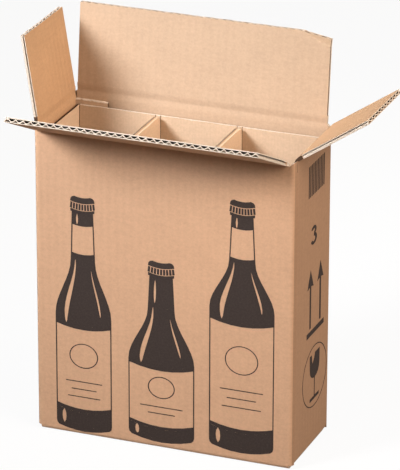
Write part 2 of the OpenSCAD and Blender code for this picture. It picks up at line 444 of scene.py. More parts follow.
class CartonStage(bpy.types.Operator):
    """Sets the pale floor, the soft light, and the camera"""

    bl_idname = "bottle_carton.stage"
    bl_label = "Stage"

    FLOOR_HALF, FLOOR_DROP = 6.0, 0.2 * MM
    # placed where the shadows of the flaps and dividers say: a large key lamp on the left of the
    # camera, a warmer one near on the right, and a weak one behind for the cut edges; each with
    # its aim, the way to it, its distance, its width, its beam in degrees, watts and colour
    LAMPS = (
        ("key_softbox", (-0.12, 0, 0.42), (-0.49, -0.71, 0.50), 1.7, 0.72, 36, 3.0, "F6FAFF"),
        ("right_softbox", (0, 0, 0.25), (0.75, -0.25, 0.61), 1.5, 0.9, 180, 19.5, "FFF0E0"),
        ("back_softbox", (0, 0, 0.25), (0.10, 0.75, 0.65), 2.6, 1.0, 180, 6, "FFFFFF"),
    )
    # the camera, solved from the photograph's own edges, in degrees and metres
    AZIMUTH, ELEVATION, ROLL = 21.37, 22.22, 0.13
    AIM_HEIGHT, DISTANCE, SHIFT_RIGHT, SHIFT_UP = 0.160, 3.8510, 0.0166, 0.0409
    FOCAL_PIXELS, FRAME_PIXELS, SENSOR_MM, CLIP_END = 4000, 470, 36, 100

    def air(self, scene):
        """A white background that only the camera sees, and a dim fill for the carton."""
        world = bpy.data.worlds.new("studio_air")
        world.use_nodes = True
        tree = world.node_tree
        tree.nodes.clear()
        fill = add(tree, "Background", {"Color": linear("FFF6EE"), "Strength": 0.14})
        white = add(tree, "Background", {"Color": linear("FFFFFF"), "Strength": 1.0})
        mixed = add(tree, "MixShader", {0: seen_rays(tree), 1: fill.outputs[0], 2: white.outputs[0]})
        add(tree, "OutputWorld", {"Surface": mixed.outputs[0]})
        scene.world = world

    def lamps(self, scene):
        """The three soft lamps."""
        for name, aim, toward, far, across, beam, watts, colour in self.LAMPS:
            toward = Vector(toward).normalized()
            lamp = bpy.data.lights.new(name, "AREA")
            lamp.shape = "DISK"
            lamp.size = across
            lamp.spread = math.radians(beam)
            lamp.energy = watts
            lamp.color = linear(colour)[:3]
            softbox = bpy.data.objects.new(name, lamp)
            softbox.location = Vector(aim) + toward * far
            softbox.rotation_mode = "QUATERNION"
            softbox.rotation_quaternion = toward.to_track_quat("Z", "Y")
            scene.collection.objects.link(softbox)

    def camera(self, scene):
        """The photograph's own camera."""
        azimuth, elevation, roll = map(math.radians, (self.AZIMUTH, self.ELEVATION, self.ROLL))
        level = Vector((math.cos(azimuth), math.sin(azimuth), 0))
        back = Vector((
            math.sin(azimuth) * math.cos(elevation), -math.cos(azimuth) * math.cos(elevation),
            math.sin(elevation)))
        rise = back.cross(level)
        right = level * math.cos(roll) + rise * math.sin(roll)
        up = rise * math.cos(roll) - level * math.sin(roll)
        camera = bpy.data.cameras.new("photo_camera")
        camera.sensor_width = self.SENSOR_MM
        camera.lens = self.FOCAL_PIXELS * self.SENSOR_MM / self.FRAME_PIXELS
        camera.clip_end = self.CLIP_END
        eye = bpy.data.objects.new("photo_camera", camera)
        place = Matrix((right, up, back)).transposed().to_4x4()
        shifted = back * self.DISTANCE + right * self.SHIFT_RIGHT + up * self.SHIFT_UP
        place.translation = shifted + Vector((0, 0, self.AIM_HEIGHT))
        eye.matrix_world = place
        scene.collection.objects.link(eye)
        scene.camera = eye

    def execute(self, context):
        scene = context.scene
        scene.view_settings.view_transform = "Standard"
        bm = bmesh.new()
        bmesh.ops.create_grid(bm, x_segments=1, y_segments=1, size=self.FLOOR_HALF)
        bmesh.ops.translate(bm, vec=(0, 0, -self.FLOOR_DROP), verts=bm.verts)
        floor = make_piece("studio_floor", bm, ["studio_floor"])
        self.air(scene)
        self.lamps(scene)
        self.camera(scene)
        return {"FINISHED"}


class CartonWalls(bpy.types.Operator):
    """Builds the four walls, the bottom flaps and the glued joint tab"""

    bl_idname = "bottle_carton.walls"
    bl_label = "Walls and bottom"

    CORNER_STEPS = 6
    # the back wall's raw edge stops short of the left corner, where the joint is glued
    JOINT = -HALF_W + 1.5 * MM
    # a slot's bottom starts below the long flap's fold, and ends above the side flap's
    SLOT_BELOW, SLOT_ABOVE = 1 * MM, 0.6 * MM
    # bottom flaps: where the long ones meet, their gap, the side ones' reach and gap
    SEAM, SEAM_GAP, SIDE_REACH, SIDE_GAP = 2 * MM, 0.5 * MM, 48 * MM, 0.5 * MM
    BOTTOM_STEPS = 7
    # cut ends look more squarely along X or Y than the first faces of the rounded corners
    CUT_END = 0.95
    # the joint tab: width, pressed thickness, foot above the bottom flaps, and top
    TAB_WIDE, TAB_THICK, TAB_FOOT, TAB_TOP = 34 * MM, 3 * MM, 0.2 * MM, 311.2 * MM
    TAB_STEPS = 24
    # its free end stands a little off the wall, and its cut top is ragged, with a worn rim
    TAB_OFF, TAB_OFF_REACH, TAB_RAGGED = 0.9 * MM, 5 * MM, 0.5 * MM
    TAB_RIM, TAB_RIM_FACES = 0.8 * MM, 0.3

    def plan(self, sizes, inside):
        """The walls from above: a ring with rounded corners, open at the glued joint."""
        bm = bmesh.new()
        bmesh.ops.create_grid(bm, x_segments=1, y_segments=1, size=0.5)
        bmesh.ops.scale(bm, vec=(2 * HALF_W, 2 * HALF_D, 1), verts=bm.verts)
        soft = [v for v in bm.verts if not (v.co.x < 0 and v.co.y > 0)]
        round_off(bm, soft, sizes.corner, self.CORNER_STEPS, "VERTICES")
        long = [e for e in bm.edges if e.calc_length() > HALF_W]
        short = [e for e in bm.edges if HALF_D / 2 < e.calc_length() < HALF_W]
        for edges in (long, short):
            cuts = round(edges[0].calc_length() / sizes.pitch * STEPS_PER_FLUTE)
            bmesh.ops.subdivide_edges(bm, edges=edges, cuts=cuts)
        ring = bmesh.ops.inset_region(
            bm, faces=bm.faces[:], thickness=sizes.board, use_boundary=True, use_even_offset=True)
        kept = set(ring["faces"])
        bmesh.ops.delete(bm, geom=[f for f in bm.faces if f not in kept], context="FACES")
        bmesh.ops.remove_doubles(bm, verts=bm.verts, dist=0.01 * MM)
        for x in (-HALF_W + SLOT, HALF_W - SLOT, HALF_W - WIDE_SLOT, self.JOINT):
            cut(bm, (x, 0, 0), (1, 0, 0))
        for y in (inside, -inside):
            cut(bm, (0, y, 0), (0, 1, 0))
        middles = [(f, f.calc_center_median()) for f in bm.faces]
        corner = [f for f, c in middles if c.x < self.JOINT and c.y > inside]
        bmesh.ops.delete(bm, geom=corner, context="FACES")
        return bm

    def lift(self, bm, wanted, low, high):
        """Takes the level faces of one height that are wanted to another height."""
        level = [(f, f.calc_center_median()) for f in bm.faces if abs(f.normal.z) > SQUARELY]
        chosen = [f for f, c in level if abs(c.z - low) < NEAR and wanted(c)]
        pull(bm, chosen, (0, 0, high - low))
        bmesh.ops.delete(bm, geom=chosen, context="FACES")

    def raise_corners(self, bm, inside):
        """Lifts the board at the corners, where each slot's bottom slants from fold to fold."""
        narrow, wide = HALF_W - SLOT, HALF_W - WIDE_SLOT
        front, back = FOLD["front_flap"].z, FOLD["back_flap"].z
        self.lift(bm, lambda c: c.y < -inside and (c.x < -narrow or c.x > wide), WALL_TOP, front)
        self.lift(bm, lambda c: c.y > inside and abs(c.x) > narrow, WALL_TOP, back)
        for v in bm.verts:
            if v.co.z > WALL_TOP + 1 * MM:
                slot = WIDE_SLOT if v.co.y < 0 and v.co.x > 0 else SLOT
                share = max(0.0, grow(abs(v.co.x) - HALF_W + slot, slot))
                near = (front if v.co.y < 0 else back) - self.SLOT_BELOW
                far = FOLD["left_flap"].z + self.SLOT_ABOVE
                v.co.z = near + (far - near) * share

    def walls(self, sizes):
        """The four walls in one piece, with the flutes showing faintly through the liners."""
        inside = HALF_D - sizes.board
        bm = self.plan(sizes, inside)
        bmesh.ops.translate(bm, vec=(0, 0, FLOOR_TOP), verts=bm.verts)
        pull(bm, bm.faces[:], (0, 0, WALL_TOP - FLOOR_TOP))
        bmesh.ops.recalc_face_normals(bm, faces=bm.faces)
        self.raise_corners(bm, inside)
        # the front and back walls reach down to their own bottom flaps
        self.lift(bm, lambda c: abs(c.y) > inside, FLOOR_TOP, sizes.board)
        wave = 2 * math.pi / sizes.pitch
        for v in bm.verts:
            if abs(v.co.y) > inside - NEAR and abs(v.co.x) < HALF_W - 2 * sizes.board:
                v.co.y += sizes.wash * math.cos(wave * v.co.x)
            elif abs(v.co.x) > HALF_W - sizes.board - NEAR and abs(v.co.y) < inside - sizes.board:
                v.co.x += sizes.wash * math.cos(wave * v.co.y)
        bmesh.ops.recalc_face_normals(bm, faces=bm.faces)
        for f in bm.faces:
            c, n = f.calc_center_median(), f.normal
            if abs(n.z) > MOSTLY or (c.x < self.JOINT + NEAR and c.y > inside - NEAR):
                f.material_index = EDGE
            # walls turned along Y take the Y finishes: painted shade outside, painted warm light inside
            elif abs(n.y) > abs(n.x):
                f.material_index = OUTER_X if n.y * c.y > 0 else INNER_X
            else:
                f.material_index = OUTER_Y_SHADED if n.x * c.x > 0 else INNER_Y_WARM_LIT
        return make_piece("carton_walls", bm, BOARD_FINISHES)

    def bottom(self, sizes):
        """The closed bottom: side flaps inside, and the front and back flaps outside."""
        bm = bmesh.new()
        t = sizes.board
        low = FLOOR_TOP - t
        side, half = HALF_D - t - self.SIDE_GAP, HALF_W - SLOT
        rounded = {1: (t, self.BOTTOM_STEPS)}
        for sign, reach in ((-1, self.SEAM), (1, self.SEAM + self.SEAM_GAP)):
            wall = sign * HALF_D
            profile = [(wall, t), (wall, 0), (reach, 0), (reach, t), (wall - sign * t, t)]
            part = bmesh.new()
            prism(part, [(-half, y, z) for y, z in profile], rounded, (2 * half, 0, 0))
            merge_into(bm, part)
        for sign in (-1, 1):
            wall, end = sign * HALF_W, sign * (HALF_W - self.SIDE_REACH)
            profile = [(wall, FLOOR_TOP), (wall, low), (end, low), (end, FLOOR_TOP)]
            profile.append((wall - sign * t, FLOOR_TOP))
            part = bmesh.new()
            prism(part, [(x, -side, z) for x, z in profile], rounded, (0, 2 * side, 0))
            merge_into(bm, part)
        bmesh.ops.dissolve_degenerate(bm, dist=0.001 * MM, edges=bm.edges[:])
        bmesh.ops.recalc_face_normals(bm, faces=bm.faces)
        for f in bm.faces:
            c, n = f.calc_center_median(), f.normal
            cut_across = abs(n.x) > self.CUT_END and abs(c.x) < HALF_W - NEAR
            cut_along = abs(n.y) > self.CUT_END and abs(c.y) < HALF_D - NEAR
            by_end = abs(c.x) > HALF_W - self.SIDE_REACH - 1 * MM and abs(c.y) < side
            if cut_across or cut_along:
                f.material_index = EDGE
            else:
                f.material_index = INNER_X if n.z > PARTLY else OUTER_X
                # the side bottom flaps take the Y finishes, with their painted shade
                f.material_index += 1 if by_end and c.z > low - HAIR else 0
        return make_piece("carton_bottom", bm, BOARD_FINISHES)

    def tab(self, sizes):
        """The glued joint tab: the left wall's pressed end, inside the back wall."""
        bm = bmesh.new()
        bmesh.ops.create_cube(bm, size=1)
        left, back = -HALF_W + sizes.board, HALF_D - sizes.board
        right, front = left + self.TAB_WIDE, back - self.TAB_THICK
        low, high = FLOOR_TOP + self.TAB_FOOT, self.TAB_TOP
        middle = ((left + right) / 2, (back + front) / 2, (low + high) / 2)
        bmesh.ops.scale(bm, vec=(right - left, back - front, high - low), verts=bm.verts)
        bmesh.ops.translate(bm, vec=middle, verts=bm.verts)
        level = [e for e in bm.edges if abs(e.verts[0].co.x - e.verts[1].co.x) > self.TAB_WIDE / 2]
        bmesh.ops.subdivide_edges(bm, edges=level, cuts=self.TAB_STEPS, use_grid_fill=True)
        for v in bm.verts:
            if v.co.y > back - NEAR:
                v.co.y -= self.TAB_OFF * fade(right - v.co.x, self.TAB_OFF_REACH)
            if v.co.z > high - NEAR:
                v.co.z += self.TAB_RAGGED * uneven(v.co.x / (3 * MM), v.co.y / (4 * MM), 0.7)

        def at_rim(v):
            return v.co.y < front + HAIR and v.co.z > high - 1 * MM

        rim = [e for e in bm.edges if all(at_rim(v) for v in e.verts)]
        round_off(bm, rim, self.TAB_RIM, 2, "EDGES")
        bmesh.ops.recalc_face_normals(bm, faces=bm.faces)
        for f in bm.faces:
            if f.normal.z > self.TAB_RIM_FACES:
                f.material_index = EDGE
            else:
                # the free end is the cut board's fluting, in its dark colour as painted shade beside the
                # step
                f.material_index = FLUTE_IN_SHADE if f.normal.x > SQUARELY else INNER_X
        return make_piece("joint_tab", bm, BOARD_FINISHES)

    def execute(self, context):
        sizes = context.scene.carton_sizes
        walls, bottom, tab = self.walls(sizes), self.bottom(sizes), self.tab(sizes)
        for piece in (walls, bottom, tab):
            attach(piece, "carton")
        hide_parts("carton")
        return {"FINISHED"}


class CartonFlaps(bpy.types.Operator):
    """Builds the four top flaps as two liners with the fluting between them"""

    bl_idname = "bottle_carton.flaps"
    bl_label = "Top flaps"

    # rows of faces along a flap, and how much closer they lie towards its free edge
    ROWS, ROW_POWER = 18, 1.7
    # narrow crests under the inner liner, so that the channels below them are smaller
    CREST_POWER = 1.5
    # the wave slips by up to half a radian, but not at the side cuts, where it is pressed up
    SLIP, SLIP_LENGTH, SLIP_FULL, PRESSED = 0.5, 22 * MM, 15 * MM, 0.9
    # blunt cuts have crushed the side flaps' fluting, so their channels show smaller
    CRUSHED = {"left_flap": 1.45, "right_flap": 1.25}
    # how far the cut edges' spread reaches, and how far from the crease it is full
    SPREAD_REACH, SPREAD_FULL = 10 * MM, 15 * MM
    # cardboard is never quite flat, and its cut edge is a little uneven
    HOLLOW, HOLLOW_FULL, RAGGED, RAGGED_LENGTH = 0.12 * MM, 25 * MM, 0.25 * MM, 9 * MM
    # one corner of the back flap is knocked back along a slanting crease
    BENT, BENT_X, BENT_Y = 30 * MM, 0.371, 0.928
    BENT_TURN, BENT_ROUND = math.radians(76), 1.6 * MM

    def ripple(self, part, width, pitch, swing):
        """Gives the middle sheet its waves, a little slack here and there."""
        for v in part.verts:
            from_cut = width / 2 - abs(v.co.x)
            slip = self.SLIP * uneven(v.co.x / self.SLIP_LENGTH, 3.7, 0)
            # the last half wave before a side cut rises steeper
            rise = from_cut * self.PRESSED * fade(2 * from_cut, pitch)
            turned = 2 * math.pi / pitch * (abs(v.co.x) - rise)
            turned += slip * grow(from_cut, self.SLIP_FULL)
            crest = (0.5 + 0.5 * math.cos(turned)) ** self.CREST_POWER
            v.co.z += swing * (2 * crest - 1)

    def sheet(self, name, layer, sizes, width, length):
        """One of a flap's three sheets, lying flat with its fold along X."""
        pitch = wave_pitch(width, sizes.pitch)
        reach = length - sizes.crease
        outer, inner = board_depths(sizes)
        low = {"outer": outer, "inner": inner - sizes.liner, "wave": (outer + inner) / 2}[layer]
        part = bmesh.new()
        columns = round(width / pitch * STEPS_PER_FLUTE)
        bmesh.ops.create_grid(part, x_segments=columns, y_segments=self.ROWS, size=0.5)
        bmesh.ops.scale(part, vec=(width, reach, 1), verts=part.verts)
        for v in part.verts:
            to_edge = max(0.0, 0.5 - v.co.y / reach)
            v.co.y = sizes.crease + reach * (1 - to_edge ** self.ROW_POWER)
            v.co.z = low
        if layer == "wave":
            medium = sizes.medium * self.CRUSHED.get(name, 1)
            self.ripple(part, width, pitch, (sizes.board - 2 * sizes.liner - medium) / 2)
            bmesh.ops.solidify(part, geom=part.faces[:], thickness=medium)
            bmesh.ops.translate(part, vec=(0, 0, medium / 2), verts=part.verts)
        else:
            pull(part, part.faces[:], (0, 0, sizes.liner))
            for v in part.verts:
                v.co.z += sizes.wash * math.cos(2 * math.pi / pitch * v.co.x)
        bmesh.ops.recalc_face_normals(part, faces=part.faces)
        across = 0 if name in LONG_FLAPS else 1
        for f in part.faces:
            c, n = f.calc_center_median(), f.normal
            in_last_wave = abs(c.x) > width / 2 - pitch / 2
            by_side_cut = layer == "wave" and in_last_wave and name != "back_flap"
            side_cut = abs(n.x) > SQUARELY and abs(c.x) > width / 2 - 0.3 * MM
            if abs(n.y) > SQUARELY or side_cut or by_side_cut:
                f.material_index = EDGE
            # the channels under the inner liner are painted shade in the dark fluting colour; the lower
            # ones keep the liner's colour
            elif (layer == "wave" and n.z > 0) or (layer == "inner" and n.z < 0):
                f.material_index = FLUTE_IN_SHADE
            elif layer == "outer" and n.z < 0:
                f.material_index = OUTER_X + across
            else:
                f.material_index = INNER_X + across
        return part

    def wear(self, bm, name, sizes, width, length):
        """Spreads the cut edges, makes the board a little uneven, and bends the back flap's corner."""
        middle = sum(board_depths(sizes)) / 2
        seed = len(name)
        for v in bm.verts:
            # cutting pushes the layers apart a little along the cut edges
            from_cut = min(length - v.co.y, width / 2 - abs(v.co.x))
            from_crease = v.co.y - sizes.crease
            spread = fade(from_cut, self.SPREAD_REACH) * grow(from_crease, self.SPREAD_FULL)
            side = (v.co.z - middle) / (sizes.board / 2)
            v.co.z += side * spread * SPREAD[name][0 if side > 0 else 1]
            hollow = uneven(v.co.x / (70 * MM), v.co.y / (60 * MM), seed)
            v.co.z += self.HOLLOW * hollow * grow(from_crease, self.HOLLOW_FULL)
            if v.co.y > length - NEAR:
                v.co.y -= self.RAGGED * (0.5 + uneven(v.co.x / self.RAGGED_LENGTH, 1.3, seed))
            if name == "back_flap":
                in_from_corner = v.co.x - width / 2 + self.BENT
                past = in_from_corner * self.BENT_X + (v.co.y - length) * self.BENT_Y
                if past > 0:
                    turn = self.BENT_TURN * grow(past, self.BENT_ROUND)
                    v.co.x -= past * (1 - math.cos(turn)) * self.BENT_X
                    v.co.y -= past * (1 - math.cos(turn)) * self.BENT_Y
                    v.co.z -= past * math.sin(turn)

    def flap(self, name, sizes):
        """One top flap, turned to how it stands."""
        length = FLAPS[name][4]
        start, end = flap_span(name)
        width = end - start
        bm = bmesh.new()
        for layer in ("outer", "inner", "wave"):
            merge_into(bm, self.sheet(name, layer, sizes, width, length))
        self.wear(bm, name, sizes, width, length)
        point, along, out, face = flap_axes(name)
        place = Matrix((along, out, face)).transposed().to_4x4()
        place.translation = point + along * (start + end) / 2
        bmesh.ops.transform(bm, matrix=place, verts=bm.verts)
        return make_piece(name + "_board", bm, BOARD_FINISHES)

    def execute(self, context):
        for name in FLAPS:
            piece = self.flap(name, context.scene.carton_sizes)
            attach(piece, name)
            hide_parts(name)
        return {"FINISHED"}


class CartonFolds(bpy.types.Operator):
    """Builds the pressed creases between the walls and the top flaps, each shaped for how its flap stands
    """

    bl_idname = "bottle_carton.folds"
    bl_label = "Fold lines"

    # the pressed board bulges at its ends, up to the slots' corners
    END_BULGE = 0.45 * MM
    # inside, the board sinks from a knee on each side to a valley; outside, it has a scored groove
    KNEE, KNEE_ROUND, VALLEY, VALLEY_ROUND = 5.4 * MM, 1.8 * MM, 2.0 * MM, 1.1 * MM
    GROOVE, SCORE = 1.5 * MM, 0.3 * MM
    ROUND_STEPS, LONG_STEPS = 4, 40
    # the crease wanders a little, less and less away from the fold
    WANDER, WANDER_REACH, WANDER_LENGTH = 0.25 * MM, 5 * MM, 14 * MM

    def fold(self, name, sizes):
        """One crease, from the wall's top round to the flap's first board."""
        outward = FLAPS[name][0]
        point, along, out, face = flap_axes(name)
        start, end = flap_span(name)
        start, end = start - self.END_BULGE, end + self.END_BULGE
        drop = point.z - WALL_TOP
        outer, inner = board_depths(sizes)

        def wall(down, depth):
            return point + along * start - Vector((0, 0, down)) - outward * depth

        def flap(length, depth):
            return point + along * start + out * length + face * depth

        middle = ((face - outward) / 2).normalized()
        valley = point + along * start + middle * self.VALLEY
        score = point + along * start + middle * self.SCORE
        corners = [
            wall(drop, inner), wall(self.KNEE, inner), valley, flap(self.KNEE, inner),
            flap(sizes.crease, inner), flap(sizes.crease, outer), flap(self.GROOVE, outer), score,
            wall(self.GROOVE, outer), wall(drop, outer),
        ]
        knee, dip = (self.KNEE_ROUND, self.ROUND_STEPS), (self.VALLEY_ROUND, self.ROUND_STEPS)
        bm = bmesh.new()
        prism(bm, corners, {1: knee, 2: dip, 3: knee}, along * (end - start))
        long = [e for e in bm.edges if e.calc_length() > 0.9 * (end - start)]
        bmesh.ops.subdivide_edges(bm, edges=long, cuts=self.LONG_STEPS, use_grid_fill=True)
        bmesh.ops.recalc_face_normals(bm, faces=bm.faces)
        side = 0 if name in LONG_FLAPS else 1
        for f in bm.faces:
            c = f.calc_center_median() - point
            if abs(f.normal.dot(along)) > SQUARELY:
                # cut ends: pale torn fibres, and down in the side slots the board's fluting colour,
                # darkened as painted shade
                f.material_index = FLUTE_IN_SHADE if side and c.dot(out) < 1 * MM else EDGE
            else:
                f.material_index = (INNER_X if f.normal.dot(middle) > 0 else OUTER_X) + side
        for v in bm.verts:
            c = v.co - point
            near = fade((c - along * c.dot(along)).length, self.WANDER_REACH)
            way = uneven(c.dot(along) / self.WANDER_LENGTH, 0.4, len(name))
            v.co += middle * self.WANDER * near * way
        piece = make_piece(name.replace("_flap", "_fold_crease"), bm, BOARD_FINISHES, sharp=40)
        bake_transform(piece)

    def execute(self, context):
        for name in FLAPS:
            self.fold(name, context.scene.carton_sizes)
        return {"FINISHED"}


class BottleInsert(bpy.types.Operator):
    """Builds the pleated card insert that makes the three cells"""

    bl_idname = "bottle_carton.insert"
    bl_label = "Bottle insert"

    # between a divider's two layers, and the round that is cut away at its back
    GAP, RELIEF = 0.3 * MM, 7 * MM
    # the top is cut a little low, to leave room for the closed front flap's spread edge
    SHORT = 0.45 * MM
    DIVIDERS = (-42 * MM, 42 * MM)
    # the pressed groove at every fold
    GROOVE_WIDE, GROOVE_DEEP = 0.9 * MM, 1.2 * MM
    BACK_ROUND, NOSE_ROUND = 2.2 * MM, 1.8 * MM
    # the cut tops are ragged, the back bows, and a divider's layers spring apart at the top
    RAGGED, BOW, SPRING, SPRING_FULL = 0.5 * MM, 0.4 * MM, 0.45 * MM, 25 * MM
    # how far the loose sides lean in at the top, and how far along the back that shows
    LEFT_LEAN, RIGHT_LEAN, LEAN_REACH = 2.6 * MM, 0.8 * MM, 30 * MM

    def strip(self, card):
        """Left side, back and right side in one strip, with a pressed groove at every fold."""
        low, high = INSERT_LOW, INSERT_HIGH
        wide = self.GROOVE_WIDE
        face, root = high.y - card, self.GAP / 2 + card
        bed = face + self.GROOVE_DEEP
        left, right = low.x + card, high.x - card
        plan = [(high.x, low.y), (high.x, high.y), (low.x, high.y), (low.x, low.y), (left, low.y)]
        plan += [(left, bed), (left + wide, bed), (left + wide, face)]
        for c in self.DIVIDERS:
            for a, b in ((c - root - wide, c - root), (c + root, c + root + wide)):
                plan += [(a, face), (a, bed), (b, bed), (b, face)]
        plan += [(right - wide, face), (right - wide, bed), (right, bed), (right, low.y)]
        bm = bmesh.new()
        verts = [bm.verts.new((x, y, low.z)) for x, y in plan]
        bm.faces.new(verts)
        round_off(bm, [verts[1], verts[2]], self.BACK_ROUND, 4, "VERTICES")
        long = [e for e in bm.edges if e.calc_length() > 30 * MM]
        bmesh.ops.subdivide_edges(bm, edges=long, cuts=16)
        # a cut beside the left groove gives the left side a top of its own
        cut(bm, (left + wide + NEAR, 0, 0), (1, 0, 0))
        for v in pull(bm, bm.faces[:], (0, 0, high.z - low.z - self.SHORT)):
            v.co.z -= self.RAGGED * (0.5 + uneven(v.co.x / (11 * MM), v.co.y / (11 * MM), 2.1))
            v.co.y -= self.BOW * (0.5 + uneven(v.co.x / (30 * MM), 0.3, 5.2))
            left_lean = self.LEFT_LEAN * fade(v.co.x - low.x, self.LEAN_REACH)
            v.co.x += left_lean - self.RIGHT_LEAN * fade(high.x - v.co.x, self.LEAN_REACH)
        bmesh.ops.recalc_face_normals(bm, faces=bm.faces)
        return bm

    def divider(self, centre, card):
        """One pleat: two layers folded at the front, cut away round at the back."""
        low, high = INSERT_LOW, INSERT_HIGH
        root, bend = high.y - card, high.y - card - self.RELIEF
        nose = low.y + card
        bm = bmesh.new()
        path = [(-1, root), (-1, bend), (-1, nose), (1, nose), (1, bend), (1, root)]
        verts = [bm.verts.new((centre + side * self.GAP / 2, y, low.z)) for side, y in path]
        edges = [bm.edges.new(pair) for pair in zip(verts, verts[1:])]
        bmesh.ops.subdivide_edges(bm, edges=[edges[0], edges[-1]], cuts=6)
        bmesh.ops.subdivide_edges(bm, edges=[edges[1], edges[3]], cuts=8)
        top = moved_verts(bmesh.ops.extrude_edge_only(bm, edges=bm.edges[:]))
        bmesh.ops.translate(bm, vec=(0, 0, high.z - low.z - self.SHORT), verts=top)
        for v in top:
            past = max(0.0, v.co.y - bend)
            v.co.z -= self.RELIEF - math.sqrt(max(0.0, self.RELIEF ** 2 - past ** 2))
            spread = math.copysign(grow(v.co.y - low.y - card, self.SPRING_FULL), v.co.x - centre)
            v.co.x += self.SPRING * spread
            v.co.z -= 0.8 * self.RAGGED * (0.5 + uneven(v.co.y / (13 * MM), centre * 50, spread))
        bmesh.ops.recalc_face_normals(bm, faces=bm.faces)
        if sum(f.normal.x * (f.calc_center_median().x - centre) for f in bm.faces) > 0:
            bmesh.ops.reverse_faces(bm, faces=bm.faces[:])
        bmesh.ops.solidify(bm, geom=bm.faces[:], thickness=card)
        upright = [e for e in bm.edges if abs(e.verts[0].co.z - e.verts[1].co.z) > 100 * MM]
        fold = [e for e in upright if all(v.co.y < low.y + NEAR for v in e.verts)]
        round_off(bm, fold, self.NOSE_ROUND, 5, "EDGES")
        bmesh.ops.recalc_face_normals(bm, faces=bm.faces)
        return bm

    def execute(self, context):
        card = context.scene.carton_sizes.card
        bm = self.strip(card)
        for f in bm.faces:
            c, n = f.calc_center_median(), f.normal
            # the grooves, and the left side's top by the gap along the left wall, get the dark fluting
            # colour as painted shade
            groove = n.y < -PARTLY and c.y > INSERT_HIGH.y - card + 0.5 * MM
            by_wall = n.z > PARTLY and c.x < INSERT_LOW.x + 5 * MM
            if groove or by_wall:
                f.material_index = CARD_SHADE
            elif abs(n.z) > PARTLY:
                f.material_index = CARD_EDGE
            else:
                # side panels and divider sides take the painted light, back panels the painted shade
                f.material_index = CARD_Y_LIT if abs(n.x) > abs(n.y) else CARD_X_SHADED
        for centre in self.DIVIDERS:
            part = self.divider(centre, card)
            for f in part.faces:
                # the left layer's cut top is painted shade, dark beside the gap between the layers
                if f.normal.z > PARTLY and f.calc_center_median().x < centre:
                    f.material_index = CARD_EDGE_SHADED
                else:
                    f.material_index = CARD_X_SHADED if abs(f.normal.y) > MOSTLY else CARD_Y_LIT
            merge_into(bm, part)
        piece = make_piece("bottle_insert_card", bm, INSERT_FINISHES)
        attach(piece, "carton")
        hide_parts("bottle_insert")
        return {"FINISHED"}


